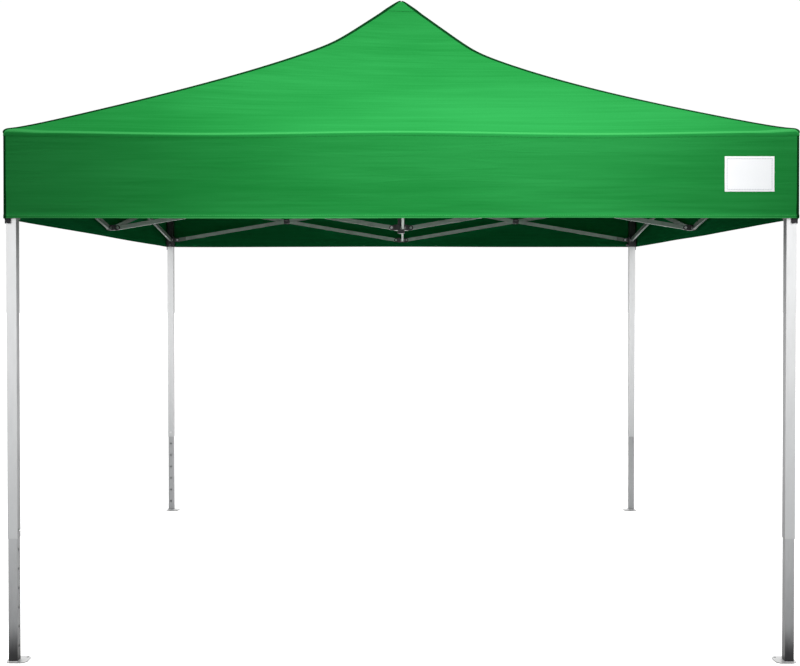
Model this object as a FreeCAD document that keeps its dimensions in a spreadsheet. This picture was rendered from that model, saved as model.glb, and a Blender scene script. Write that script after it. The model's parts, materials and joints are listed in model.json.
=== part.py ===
import FreeCAD, Part
import math
import os
from FreeCAD import Placement, Rotation, Vector

# Square garden pop up gazebo: four telescopic legs, a folding scissor frame and a
# hipped fabric canopy with a valance.  Millimetres, +Z up, the front faces -Y and
# the origin is on the floor in the middle of the four legs.
#
# Every scissor bar has the same length.  Each side carries two crossed pairs, and
# four more crossed pairs run from the middle of each side to the two central hubs.
# The frame is the same in each quarter, so side number 0 (front) is modelled and
# turned by 90 degrees for sides 1 (right), 2 (back) and 3 (left).

SIZES = [
    ("spacing", 3000.0, "between leg centres along each side"),
    ("pivot_high", 2000.0, "height of the upper pivots"),
    ("scissor_drop", 240.0, "lower pivots below the upper ones when open"),
    ("corner_stand", 27.0, "outer face of the leg to the pivot beside it"),
    ("mid_reach", 34.0, "middle of a side to the pivot beside it"),
    ("inner_reach", 30.0, "side plane to the pivot of the centre arm"),
    ("bar_gap", 4.0, "air between two crossed bars"),
    ("bar_width", 12.0, "bar across its pins"),
    ("bar_height", 22.0, "bar height, also the diameter of its round ends"),
    ("bar_wall", 0.8, "wall of the bar tube"),
    ("pin_radius", 4.0, "rivet shank"),
    ("pin_play", 0.08, "radial play of a rivet in what turns on it"),
    ("head_radius", 7.0, "rivet head"),
    ("head_height", 2.0, "rivet head"),
    ("head_play", 0.1, "air under each rivet head"),
    ("spacer_radius", 16.0, "plastic spacer between two crossed bars"),
    ("slot_play", 0.5, "bar between the cheeks of a fork, each side"),
    ("slot_gap", 1.5, "round end of a bar to the back of its slot"),
    ("cheek", 4.0, "thickness of a fork cheek"),
    ("ear_radius", 12.0, "round end of a fork cheek"),
    ("leg_size", 38.0, "outer leg tube, square"),
    ("leg_wall", 1.2, "wall of both leg tubes"),
    ("leg_play", 0.4, "lower leg inside the outer one, each side"),
    ("leg_above", 30.0, "outer leg above the upper pivots"),
    ("leg_end", 480.0, "bottom end of the outer leg"),
    ("lower_top", 1130.0, "top end of the lower leg"),
    ("foot_size", 82.0, "square foot plate"),
    ("foot_margin", 12.0, "foot plate beyond the outer faces of the leg"),
    ("foot_round", 24.0, "corner radius of the foot plate"),
    ("foot_thick", 3.0, "foot plate"),
    ("peg_radius", 5.0, "hole for the ground peg"),
    ("peg_inset", 14.0, "peg hole from the inner edges of the foot plate"),
    ("hole_pitch", 75.0, "height steps of the leg"),
    ("hole_radius", 5.5, "height holes in the lower leg"),
    ("stop_above", 30.0, "leg button above the end of the outer leg"),
    ("stop_radius", 5.0, "leg button"),
    ("stop_reach", 4.5, "leg button proud of the leg"),
    ("button_play", 0.08, "radial play of both kinds of button"),
    ("sleeve_wall", 4.0, "wall of the corner top bracket"),
    ("sleeve_play", 0.05, "corner top bracket on the leg, each side"),
    ("sleeve_down", 30.0, "corner top bracket below the upper pivots"),
    ("bracket_above", 40.5, "corner top bracket above the upper pivots"),
    ("slider_wall", 3.5, "wall of the slider"),
    ("slider_play", 0.4, "slider on the leg, each side"),
    ("slider_up", 20.0, "slider above its pivots"),
    ("slider_down", 45.0, "slider below its pivots"),
    ("boss_radius", 10.0, "housing of the slider button"),
    ("boss_reach", 6.0, "housing of the slider button, from the sleeve"),
    ("boss_down", 30.0, "slider button below the pivots"),
    ("press_radius", 6.5, "slider button"),
    ("press_gap", 5.2, "inner end of the slider button to the leg"),
    ("press_reach", 6.5, "slider button proud of its housing"),
    ("press_round", 1.5, "bevel round the end of the slider button"),
    ("core_half", 14.0, "half height of the middle brackets"),
    ("hub_half", 15.0, "half height of the hubs"),
    ("ring_passage", 7.0, "mast cap to the wall of the hole through the upper hub"),
    ("socket_radius", 18.0, "mast socket of the lower hub"),
    ("socket_up", 55.0, "mast socket above the lower pivots"),
    ("socket_down", 30.0, "mast socket below the lower pivots"),
    ("socket_floor", 5.0, "bottom of the mast socket"),
    ("mast_radius", 12.7, "mast tube"),
    ("mast_wall", 1.5, "mast tube"),
    ("mast_play", 0.05, "mast in its socket and in its cap"),
    ("cap_radius", 25.0, "domed mast cap"),
    ("cap_down", 14.0, "mast cap below the middle of its dome"),
    ("cap_gap", 0.3, "mast cap to the fabric"),
    ("skin", 1.0, "thickness of the valance"),
    ("skin_gap", 0.95, "corner brackets to the valance"),
    ("roof_skin", 1.2, "thickness of the roof, measured upright"),
    ("roof_gap", 1.5, "corner brackets to the top of the valance"),
    ("valance", 327.0, "height of the valance"),
    ("kink_half", 350.0, "half width where the roof turns steeper"),
    ("kink_rise", 561.0, "eave to where the roof turns steeper"),
    ("peak_rise", 885.0, "eave to the top of the roof"),
]

SIDES = ["front", "right", "back", "left"]
CORNERS = ["front_left", "front_right", "back_right", "back_left"]
HOLES_BELOW = 6
HOLES_ABOVE = 2

doc = FreeCAD.newDocument("pop_up_gazebo")
sheet = doc.addObject("Spreadsheet::Sheet", "Sizes")
for row, (alias, value, meaning) in enumerate(SIZES, start=1):
    sheet.set(f"A{row}", meaning)
    sheet.set(f"B{row}", str(value))
    sheet.setAlias(f"B{row}", alias)
doc.recompute()

# Lengths that follow from the sheet, as expressions.
LEG_HALF = "(Sizes.leg_size / 2)"
LOWER_HALF = f"({LEG_HALF} - Sizes.leg_wall - Sizes.leg_play)"
BRACKET_INSIDE = f"({LEG_HALF} + Sizes.sleeve_play)"
BRACKET_HALF = f"({BRACKET_INSIDE} + Sizes.sleeve_wall)"
SLIDER_INSIDE = f"({LEG_HALF} + Sizes.slider_play)"
SLIDER_HALF = f"({SLIDER_INSIDE} + Sizes.slider_wall)"
CORNER_REACH = f"({LEG_HALF} + Sizes.corner_stand)"
HUB_REACH = f"({CORNER_REACH} + Sizes.mid_reach - Sizes.inner_reach)"
PLANE_SHIFT = "((Sizes.bar_width + Sizes.bar_gap) / 2)"
SLOT_HALF = "(Sizes.bar_width / 2 + Sizes.slot_play)"
SLOT_DEPTH = "(Sizes.bar_height / 2 + Sizes.slot_gap)"
FORK_HALF = f"({SLOT_HALF} + Sizes.cheek)"
RUN = f"(Sizes.spacing / 2 - {CORNER_REACH} - Sizes.mid_reach)"
BAR_LENGTH = f"sqrt({RUN}^2 + Sizes.scissor_drop^2)"
PIVOT_LOW = "(Sizes.pivot_high - Sizes.scissor_drop)"
RING_BORE = "(Sizes.cap_radius + Sizes.ring_passage)"
CANOPY_HALF = f"(Sizes.spacing / 2 + {BRACKET_HALF} + Sizes.skin_gap + Sizes.skin)"
EAVE = "(Sizes.pivot_high + Sizes.bracket_above + Sizes.roof_gap)"
KINK = f"({EAVE} + Sizes.kink_rise)"
PEAK = f"({EAVE} + Sizes.peak_rise)"
LOW_SLOPE = f"(Sizes.kink_rise / ({CANOPY_HALF} - Sizes.kink_half))"
HIGH_SLOPE = "((Sizes.peak_rise - Sizes.kink_rise) / Sizes.kink_half)"
CAP_MIDDLE = (f"({PEAK} - Sizes.roof_skin"
              f" - (Sizes.cap_radius + Sizes.cap_gap) * sqrt(1 + {HIGH_SLOPE}^2))")

nodes = []
counts = {}


def size(alias):
    """A plain number from the sheet."""
    return float(sheet.get(alias))


def named(kind, name):
    """A new document object with a numbered internal name."""
    counts[name] = counts.get(name, 0) + 1
    return doc.addObject(kind, f"{name}_{counts[name]}")


def bind_base(item, x, y, z):
    """Put an object's own origin at three expressions."""
    item.setExpression("Placement.Base.x", f"{x}")
    item.setExpression("Placement.Base.y", f"{y}")
    item.setExpression("Placement.Base.z", f"{z}")


def block(name, x_span, y_span, z_span):
    """A box between pairs of planes, each plane an expression."""
    item = named("Part::Box", name)
    for side, (low, high) in zip(("Length", "Width", "Height"), (x_span, y_span, z_span)):
        item.setExpression(side, f"({high}) - ({low})")
    bind_base(item, x_span[0], y_span[0], z_span[0])
    return item


def rod(name, axis, radius, start, length):
    """A cylinder along an axis from a start point given as three expressions."""
    item = named("Part::Cylinder", name)
    item.setExpression("Radius", f"{radius}")
    item.setExpression("Height", f"{length}")
    item.Placement.Rotation = Rotation(Vector(0, 0, 1), axis)
    bind_base(item, *start)
    return item


def frustum(name, low_half, low_z, high_half, high_z):
    """A square pyramid or its lower part, standing upright on the Z axis."""
    item = named("Part::Wedge", name)
    for end, half in (("", low_half), ("2", high_half)):
        for across in ("X", "Z"):
            item.setExpression(f"{across}{end}min", f"-({half})")
            item.setExpression(f"{across}{end}max", f"{half}")
    item.setExpression("Ymin", f"{low_z}")
    item.setExpression("Ymax", f"{high_z}")
    item.Placement.Rotation = Rotation(Vector(1, 0, 0), 90)
    return item


def fused(name, items):
    item = named("Part::MultiFuse", name)
    item.Shapes = items
    item.Refine = True
    return item


def cut(name, base, tools):
    item = named("Part::Cut", name)
    item.Base = base
    item.Tool = fused(f"{name}_tools", tools) if len(tools) > 1 else tools[0]
    item.Refine = True
    return item


def together(name, items):
    """Separate solids that ride as one sub-part, such as a bar and its rivets."""
    item = named("Part::Compound", name)
    item.Links = items
    return item


def finish(item, label, placement=Placement()):
    """Name a finished sub-part and put it in its place."""
    item.Label = label
    item.Placement = placement
    nodes.append(item)


def quarter(number):
    """The turn from side 0 to another side."""
    return Placement(Vector(0, 0, 0), Rotation(Vector(0, 0, 1), 90 * number))


def corner_place(number, height=0.0):
    """The leg at the left end of a side, its X along the side and its Y inwards."""
    half = size("spacing") / 2
    return quarter(number) * Placement(Vector(-half, -half, height), Rotation())


def rivet(name, at_x, start_y, end_y):
    """A rivet along Y with a head outside each end of its grip."""
    low = f"({start_y} - Sizes.head_play)"
    high = f"({end_y} + Sizes.head_play)"
    along = Vector(0, 1, 0)
    shank = rod(f"{name}_shank", along, "Sizes.pin_radius", (at_x, low, 0), f"{high} - {low}")
    left = rod(f"{name}_head", along, "Sizes.head_radius",
               (at_x, f"{low} - Sizes.head_height", 0), "Sizes.head_height")
    right = rod(f"{name}_head", along, "Sizes.head_radius", (at_x, high, 0), "Sizes.head_height")
    return fused(name, [left, shank, right])


def scissor_bar(carries_crossing):
    """A bar along X with its middle at the origin; its partner lies towards +Y."""
    half_length = f"{BAR_LENGTH} / 2"
    half_width = "Sizes.bar_width / 2"
    half_height = "Sizes.bar_height / 2"
    across = (f"-{half_width}", half_width)
    stick = block("bar_stick", (f"-{half_length}", half_length), across,
                  (f"-{half_height}", half_height))
    ends = [rod("bar_end", Vector(0, 1, 0), half_height, (x, f"-{half_width}", 0), "Sizes.bar_width")
            for x in (f"-{half_length}", half_length)]
    inside = block("bar_inside", (f"-{half_length} - Sizes.bar_height", f"{half_length} + Sizes.bar_height"),
                   (f"Sizes.bar_wall - {half_width}", f"{half_width} - Sizes.bar_wall"),
                   (f"Sizes.bar_wall - {half_height}", f"{half_height} - Sizes.bar_wall"))
    bores = [rod("bar_bore", Vector(0, 1, 0), "Sizes.pin_radius + Sizes.pin_play",
                 (x, "-Sizes.bar_width", 0), "2 * Sizes.bar_width")
             for x in (f"-{half_length}", "0", half_length)]
    tube = cut("bar_tube", fused("bar_blank", [stick] + ends), [inside] + bores)
    pieces = [tube]
    for x in (f"-{half_length}", half_length):
        pieces.append(rivet("end_rivet", x, f"-{FORK_HALF}", FORK_HALF))
    if carries_crossing:
        partner = f"2 * {PLANE_SHIFT} + {half_width}"
        pieces.append(rivet("crossing_rivet", "0", f"-{half_width}", partner))
        low = f"({half_width} + Sizes.pin_play)"
        thickness = "Sizes.bar_gap - 2 * Sizes.pin_play"
        disc = rod("spacer_disc", Vector(0, 1, 0), "Sizes.spacer_radius", (0, low, 0), thickness)
        bore = rod("spacer_bore", Vector(0, 1, 0), "Sizes.pin_radius + Sizes.pin_play",
                   (0, low, 0), thickness)
        pieces.append(cut("spacer", disc, [bore]))
    return together("bar", pieces)


def fork(heading, root, reach, shift):
    """Two cheeks round a pivot at `reach` along a heading, `shift` to its left."""
    y_span = (f"{shift} - {FORK_HALF}", f"{shift} + {FORK_HALF}")
    web = block("fork_web", (root, reach), y_span, ("-Sizes.ear_radius", "Sizes.ear_radius"))
    ear = rod("fork_ear", Vector(0, 1, 0), "Sizes.ear_radius", (reach, y_span[0], 0), f"2 * {FORK_HALF}")
    slot = block("fork_slot", (f"{reach} - {SLOT_DEPTH}", f"{reach} + 2 * Sizes.ear_radius"),
                 (f"{shift} - {SLOT_HALF}", f"{shift} + {SLOT_HALF}"),
                 ("-2 * Sizes.ear_radius", "2 * Sizes.ear_radius"))
    bore = rod("fork_bore", Vector(0, 1, 0), "Sizes.pin_radius + Sizes.pin_play",
               (reach, f"{y_span[0]} - Sizes.cheek", 0), f"2 * {FORK_HALF} + 2 * Sizes.cheek")
    shape = cut("fork", fused("fork_blank", [web, ear]), [slot, bore])
    shape.Placement = Placement(Vector(0, 0, 0), Rotation(Vector(0, 0, 1), heading))
    return shape


def square_tube(name, half, wall, low, high):
    outer = block(f"{name}_outer", (f"-{half}", half), (f"-{half}", half), (low, high))
    inner_half = f"({half} - {wall})"
    inner = block(f"{name}_inner", (f"-{inner_half}", inner_half), (f"-{inner_half}", inner_half),
                  (f"{low} - {wall}", f"{high} + {wall}"))
    return outer, inner


def outer_leg():
    """The upper leg tube, with the bore of its snap button on the face towards +X."""
    outer, inner = square_tube("leg", LEG_HALF, "Sizes.leg_wall", "Sizes.leg_end",
                               "Sizes.pivot_high + Sizes.leg_above")
    bore = rod("stop_bore", Vector(1, 0, 0), "Sizes.stop_radius + Sizes.button_play",
               (0, 0, "Sizes.leg_end + Sizes.stop_above"), "Sizes.leg_size")
    return cut("outer_leg", outer, [inner, bore])


def leg_button():
    """A snap button with a domed end, its inner end flush with the tube's inside."""
    start = f"({LEG_HALF} - Sizes.leg_wall)"
    length = "(Sizes.leg_wall + Sizes.stop_reach - Sizes.stop_radius / 2)"
    stem = rod("stop_stem", Vector(1, 0, 0), "Sizes.stop_radius", (start, 0, 0), length)
    tip = named("Part::Cone", "stop_tip")
    tip.setExpression("Radius1", "Sizes.stop_radius")
    tip.setExpression("Radius2", "Sizes.stop_radius / 2")
    tip.setExpression("Height", "Sizes.stop_radius / 2")
    tip.Placement.Rotation = Rotation(Vector(0, 0, 1), Vector(1, 0, 0))
    bind_base(tip, f"{start} + {length}", 0, 0)
    return fused("leg_button", [stem, tip])


def foot_plate():
    """A rounded square plate that reaches further inwards than outwards."""
    low = f"(-{LOWER_HALF} - Sizes.foot_margin)"
    high = f"({low} + Sizes.foot_size)"
    near = f"{low} + Sizes.foot_round"
    far = f"{high} - Sizes.foot_round"
    thick = (0, "Sizes.foot_thick")
    pieces = [
        block("foot_wide", (low, high), (near, far), thick),
        block("foot_deep", (near, far), (low, high), thick),
    ]
    for x in (near, far):
        for y in (near, far):
            pieces.append(rod("foot_corner", Vector(0, 0, 1), "Sizes.foot_round", (x, y, 0),
                              "Sizes.foot_thick"))
    peg = f"{high} - Sizes.peg_inset"
    hole = rod("peg_hole", Vector(0, 0, 1), "Sizes.peg_radius", (peg, peg, "-Sizes.foot_thick"),
               "3 * Sizes.foot_thick")
    return cut("foot", fused("foot_blank", pieces), [hole])


def lower_leg():
    """The inner leg tube with its height holes, standing on the foot plate it is welded to."""
    outer, inner = square_tube("lower", LOWER_HALF, "Sizes.leg_wall", "Sizes.foot_thick", "Sizes.lower_top")
    button_height = "Sizes.leg_end + Sizes.stop_above"
    holes = [rod("height_hole", Vector(1, 0, 0), "Sizes.hole_radius",
                 (0, 0, f"{button_height} + {step} * Sizes.hole_pitch"), "Sizes.leg_size")
             for step in range(-HOLES_BELOW, HOLES_ABOVE + 1)]
    tube = cut("lower_tube", outer, [inner] + holes)
    return together("lower_leg", [tube, foot_plate()])


def top_bracket():
    """The capped sleeve on the leg's top with a fork along each side; Z 0 is the pivot."""
    across = (f"-{BRACKET_HALF}", BRACKET_HALF)
    inside = (f"-{BRACKET_INSIDE}", BRACKET_INSIDE)
    sleeve = block("sleeve", across, across, ("-Sizes.sleeve_down", "Sizes.bracket_above"))
    socket = block("sleeve_socket", inside, inside, ("-2 * Sizes.sleeve_down", "Sizes.leg_above"))
    cap = cut("sleeve_cap", sleeve, [socket])
    forks = [fork(0, BRACKET_HALF, CORNER_REACH, f"-{PLANE_SHIFT}"),
             fork(90, BRACKET_HALF, CORNER_REACH, PLANE_SHIFT)]
    return fused("top_bracket", [cap] + forks)


def slider():
    """The sleeve that runs on the leg, with two forks and a button housing."""
    across = (f"-{SLIDER_HALF}", SLIDER_HALF)
    inside = (f"-{SLIDER_INSIDE}", SLIDER_INSIDE)
    sleeve = block("runner", across, across, ("-Sizes.slider_down", "Sizes.slider_up"))
    boss = rod("button_boss", Vector(1, 0, 0), "Sizes.boss_radius",
               (SLIDER_INSIDE, 0, "-Sizes.boss_down"), "Sizes.slider_wall + Sizes.boss_reach")
    forks = [fork(0, SLIDER_HALF, CORNER_REACH, PLANE_SHIFT),
             fork(90, SLIDER_HALF, CORNER_REACH, f"-{PLANE_SHIFT}")]
    passage = block("runner_bore", inside, inside, ("-2 * Sizes.slider_down", "2 * Sizes.slider_up"))
    bore = rod("button_bore", Vector(1, 0, 0), "Sizes.press_radius + Sizes.button_play",
               (0, 0, "-Sizes.boss_down"), f"2 * {CORNER_REACH}")
    return cut("slider", fused("slider_blank", [sleeve, boss] + forks), [passage, bore])


def slider_button():
    """The push button of the slider, sunk in its housing and clear of the leg."""
    start = f"({LEG_HALF} + Sizes.press_gap)"
    end = f"({SLIDER_HALF} + Sizes.boss_reach + Sizes.press_reach)"
    stem = rod("press_stem", Vector(1, 0, 0), "Sizes.press_radius", (start, 0, 0),
               f"{end} - {start} - Sizes.press_round")
    rim = named("Part::Cone", "press_rim")
    rim.setExpression("Radius1", "Sizes.press_radius")
    rim.setExpression("Radius2", "Sizes.press_radius - Sizes.press_round")
    rim.setExpression("Height", "Sizes.press_round")
    rim.Placement.Rotation = Rotation(Vector(0, 0, 1), Vector(1, 0, 0))
    bind_base(rim, f"{end} - Sizes.press_round", 0, 0)
    return fused("slider_button", [stem, rim])


def middle_bracket(shift, outer_edge):
    """The block at the middle of a side: a fork each way and one towards the hub.

    `shift` is the side bars' plane, measured inwards (+Y) from the side plane, and
    the centre arm lies as far from the middle towards +X.
    """
    core_side = f"(Sizes.mid_reach - {SLOT_DEPTH})"
    core_inner = f"(Sizes.inner_reach - {SLOT_DEPTH})"
    core = block("core", (f"-{core_side}", core_side), (outer_edge, core_inner),
                 ("-Sizes.core_half", "Sizes.core_half"))
    opposite = f"-({shift})"
    forks = [fork(0, f"{core_side} - Sizes.cheek", "Sizes.mid_reach", shift),
             fork(180, f"{core_side} - Sizes.cheek", "Sizes.mid_reach", opposite),
             fork(90, f"{core_inner} - Sizes.cheek", "Sizes.inner_reach", opposite)]
    return fused("middle_bracket", [core] + forks)


def hub(shift, extra, bores):
    """A round hub with four forks, one towards each side."""
    radius = f"({HUB_REACH} - {SLOT_DEPTH})"
    puck = rod("puck", Vector(0, 0, 1), radius, (0, 0, "-Sizes.hub_half"), "2 * Sizes.hub_half")
    forks = [fork(heading, "Sizes.inner_reach / 2", HUB_REACH, shift)
             for heading in (-90, 0, 90, 180)]
    return cut("hub", fused("hub_blank", [puck] + extra + forks), bores)


def upper_hub():
    """A ring, because the mast and its cap drop through it when the frame folds."""
    passage = rod("ring_bore", Vector(0, 0, 1), RING_BORE, (0, 0, "-2 * Sizes.hub_half"),
                  "4 * Sizes.hub_half")
    return hub(f"-{PLANE_SHIFT}", [], [passage])


def lower_hub():
    """A solid hub with a socket for the mast."""
    socket = rod("socket", Vector(0, 0, 1), "Sizes.socket_radius", (0, 0, "-Sizes.socket_down"),
                 "Sizes.socket_up + Sizes.socket_down")
    bore = rod("socket_bore", Vector(0, 0, 1), "Sizes.mast_radius + Sizes.mast_play",
               (0, 0, "Sizes.socket_floor - Sizes.socket_down"), "Sizes.socket_up + Sizes.socket_down")
    return hub(PLANE_SHIFT, [socket], [bore])


def mast():
    """The centre tube and the domed cap that holds up the fabric."""
    up = Vector(0, 0, 1)
    foot = f"({PIVOT_LOW} - Sizes.socket_down + Sizes.socket_floor)"
    length = f"{CAP_MIDDLE} - {foot}"
    outer = rod("mast_outer", up, "Sizes.mast_radius", (0, 0, foot), length)
    inner = rod("mast_inner", up, "Sizes.mast_radius - Sizes.mast_wall", (0, 0, f"{foot} - 1"),
                f"{length} + 2")
    tube = cut("mast_tube", outer, [inner])
    dome = named("Part::Sphere", "dome")
    dome.setExpression("Radius", "Sizes.cap_radius")
    dome.Angle1 = 0
    bind_base(dome, 0, 0, CAP_MIDDLE)
    skirt = rod("skirt", up, "Sizes.cap_radius", (0, 0, f"{CAP_MIDDLE} - Sizes.cap_down"), "Sizes.cap_down")
    bore = rod("cap_bore", up, "Sizes.mast_radius + Sizes.mast_play",
               (0, 0, f"{CAP_MIDDLE} - 2 * Sizes.cap_down"), "2 * Sizes.cap_down")
    cap = cut("cap", fused("cap_blank", [dome, skirt]), [bore])
    return together("mast", [tube, cap])


def canopy():
    """The fabric: four valance walls and a hipped roof that steepens near its peak."""
    walls = (f"-{CANOPY_HALF}", CANOPY_HALF)
    outer = fused("canopy_outer", [
        block("valance", walls, walls, (f"{EAVE} - Sizes.valance", EAVE)),
        frustum("roof_low", CANOPY_HALF, EAVE, "Sizes.kink_half", KINK),
        frustum("roof_high", "Sizes.kink_half", KINK, "0", PEAK),
    ])
    room = f"({CANOPY_HALF} - Sizes.skin)"
    ceiling = f"({EAVE} + Sizes.skin * {LOW_SLOPE} - Sizes.roof_skin)"
    inner = [
        block("room", (f"-{room}", room), (f"-{room}", room),
              (f"{EAVE} - Sizes.valance - Sizes.skin", ceiling)),
        frustum("ceiling_low", room, ceiling, "Sizes.kink_half", f"{KINK} - Sizes.roof_skin"),
        frustum("ceiling_high", "Sizes.kink_half", f"{KINK} - Sizes.roof_skin", "0",
                f"{PEAK} - Sizes.roof_skin"),
    ]
    return cut("canopy", outer, inner)


def bar_place(number, middle, heading, slope):
    """A bar of side `number`: its middle, its heading and its fall along the heading."""
    turn = Rotation(Vector(0, 0, 1), heading) * Rotation(Vector(0, 1, 0), slope)
    return quarter(number) * Placement(middle, turn)


half_side = size("spacing") / 2
corner_reach = size("leg_size") / 2 + size("corner_stand")
hub_reach = corner_reach + size("mid_reach") - size("inner_reach")
run = half_side - corner_reach - size("mid_reach")
slope = math.degrees(math.atan2(size("scissor_drop"), run))
shift = (size("bar_width") + size("bar_gap")) / 2
pivot_high = size("pivot_high")
pivot_low = pivot_high - size("scissor_drop")
crossing_height = (pivot_high + pivot_low) / 2
side_middle = size("mid_reach") + run / 2
arm_middle = hub_reach + run / 2

for number, side in enumerate(SIDES):
    for end, sign in (("left", -1), ("right", 1)):
        outer_middle = Vector(sign * side_middle, -half_side - shift, crossing_height)
        inner_middle = Vector(sign * side_middle, -half_side + shift, crossing_height)
        finish(scissor_bar(True), f"{side}_high_bar_{end}",
               bar_place(number, outer_middle, 0, -sign * slope))
        finish(scissor_bar(False), f"{side}_low_bar_{end}",
               bar_place(number, inner_middle, 0, sign * slope))
    finish(scissor_bar(True), f"arm_high_{side}",
           bar_place(number, Vector(-shift, -arm_middle, crossing_height), -90, slope))
    finish(scissor_bar(False), f"arm_low_{side}",
           bar_place(number, Vector(shift, -arm_middle, crossing_height), -90, -slope))
    finish(middle_bracket(PLANE_SHIFT, f"{PLANE_SHIFT} - {FORK_HALF}"), f"mid_upper_{side}",
           quarter(number) * Placement(Vector(0, -half_side, pivot_high), Rotation()))
    finish(middle_bracket(f"-{PLANE_SHIFT}", f"-{PLANE_SHIFT} - {FORK_HALF}"), f"mid_lower_{side}",
           quarter(number) * Placement(Vector(0, -half_side, pivot_low), Rotation()))

for number, corner in enumerate(CORNERS):
    finish(outer_leg(), f"leg_outer_{corner}", corner_place(number))
    finish(lower_leg(), f"leg_lower_{corner}", corner_place(number))
    finish(top_bracket(), f"top_bracket_{corner}", corner_place(number, pivot_high))
    finish(slider(), f"slider_{corner}", corner_place(number, pivot_low))
    finish(slider_button(), f"slider_button_{corner}",
           corner_place(number, pivot_low - size("boss_down")))
    finish(leg_button(), f"leg_button_{corner}",
           corner_place(number, size("leg_end") + size("stop_above")))

finish(upper_hub(), "upper_hub", Placement(Vector(0, 0, pivot_high), Rotation()))
finish(lower_hub(), "lower_hub", Placement(Vector(0, 0, pivot_low), Rotation()))
finish(mast(), "mast")
finish(canopy(), "canopy")

doc.recompute()

for item in doc.Objects:
    if {"Invalid", "Error"} & set(item.State):
        raise RuntimeError(f"{item.Label} did not compute: {item.State}")
for item in nodes:
    if item.Shape.isNull() or not item.Shape.isValid():
        raise RuntimeError(f"{item.Label} has no valid shape")

os.makedirs("parts", exist_ok=True)
for item in nodes:
    item.Shape.exportStep(f"parts/{item.Label}.step")
    box = item.Shape.BoundBox
    print(f"{item.Label}: {len(item.Shape.Solids)} solids, {item.Shape.Volume / 1000:.1f} cm3,"
          f" {box.XLength:.1f} x {box.YLength:.1f} x {box.ZLength:.1f} mm")
print(f"{len(nodes)} sub-parts")
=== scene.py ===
# %% [markdown]
# # A pop up gazebo
# The frame of this gazebo comes packed: legs, crossed bars, brackets and hubs, each on the body
# that it moves with. This lesson dresses it. It gives the metal, the moulded plastic and the
# fabric their finishes, and it builds the canopy as one curved sheet, cut along its seams.

# %% Load the frame
import json
import math

import bpy
import numpy as np
from mathutils import Matrix, Vector, noise


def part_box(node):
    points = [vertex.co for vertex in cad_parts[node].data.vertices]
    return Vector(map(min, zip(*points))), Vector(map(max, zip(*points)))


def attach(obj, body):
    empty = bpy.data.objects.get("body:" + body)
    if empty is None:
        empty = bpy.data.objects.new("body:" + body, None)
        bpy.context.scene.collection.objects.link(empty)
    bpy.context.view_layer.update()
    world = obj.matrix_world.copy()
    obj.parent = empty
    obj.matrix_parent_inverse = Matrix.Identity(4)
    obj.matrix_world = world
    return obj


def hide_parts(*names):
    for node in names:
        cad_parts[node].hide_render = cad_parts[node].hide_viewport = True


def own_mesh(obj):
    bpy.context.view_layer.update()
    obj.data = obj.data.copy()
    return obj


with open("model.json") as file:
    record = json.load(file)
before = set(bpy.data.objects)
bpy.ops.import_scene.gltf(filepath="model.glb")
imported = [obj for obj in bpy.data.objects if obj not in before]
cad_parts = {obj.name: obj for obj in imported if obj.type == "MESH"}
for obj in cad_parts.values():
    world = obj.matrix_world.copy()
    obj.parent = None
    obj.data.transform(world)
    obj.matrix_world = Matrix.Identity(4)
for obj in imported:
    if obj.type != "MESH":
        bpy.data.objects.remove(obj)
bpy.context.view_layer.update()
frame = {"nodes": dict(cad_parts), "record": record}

SIDES = ["front", "right", "back", "left"]
CORNERS = ["front_left", "front_right", "back_right", "back_left"]

# %% [markdown]
# The canopy has to land on the frame that carries it, so its heights and reaches are read from
# the frame and not typed in a second time. The box of the plain canopy skin gives the hem, the
# peak and the half width, and the drop of the valance is the one number that a box can't give.
# The outer tube of one leg gives the line on which the legs and the side bars stand.

# %% Measure the frame
canopy_low, canopy_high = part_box("canopy")
HEM = canopy_low.z
VALANCE_DROP = 0.327
EAVE = HEM + VALANCE_DROP
CLOTH_STANDS_OFF = 0.004
REACH = canopy_high.x + CLOTH_STANDS_OFF
leg_low, leg_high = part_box("leg_outer_back_right")
LEG_LINE = round((leg_low.x + leg_high.x) / 2, 4)
LEG_HALF = round((leg_high.x - leg_low.x) / 2, 4)
print(f"hem {HEM:.3f}, eave {EAVE:.3f}, peak {canopy_high.z:.3f}, half width {REACH:.3f} m")
print(f"legs on the line at {LEG_LINE:.3f} m, {2 * LEG_HALF:.3f} m wide")

# %% [markdown]
# The camera stands in front at eye height, a little under the hem, so the dark inside of the
# canopy and the bars just show below it. Tilting it further down would make the legs lean, so a
# small shift of the lens brings the feet and the peak into the frame and keeps the legs upright.

# %% Camera
TILT_DOWN, PAN_LEFT = 0.82, 0.07


def put_in_scene(name, data):
    """A new object round its data, such as a mesh, a camera or a light."""
    made = bpy.data.objects.new(name, data)
    bpy.context.scene.collection.objects.link(made)
    return made


camera_data = bpy.data.cameras.new("camera")
camera_data.lens = 50.9
camera_data.sensor_width = 36.0
camera_data.shift_y = -0.036
camera = put_in_scene("camera", camera_data)
camera.location = (0.001, -5.869, 1.4475)
camera.rotation_euler = (math.radians(90 - TILT_DOWN), 0, math.radians(PAN_LEFT))
bpy.context.scene.camera = camera
bpy.context.scene.view_settings.view_transform = "Standard"
print("camera at", tuple(round(v, 3) for v in camera.location))

# %% [markdown]
# ## Shader sums as plain Python
# A finish is mostly arithmetic on a few textures. The class below wraps one output of a node, so
# that `1 - rib * 0.5` adds the Math nodes by itself. Colours don't go through it, because a Math
# node turns a colour grey: they go through `mix`, which is a Mix node.

# %% Wrap a node's output


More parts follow.
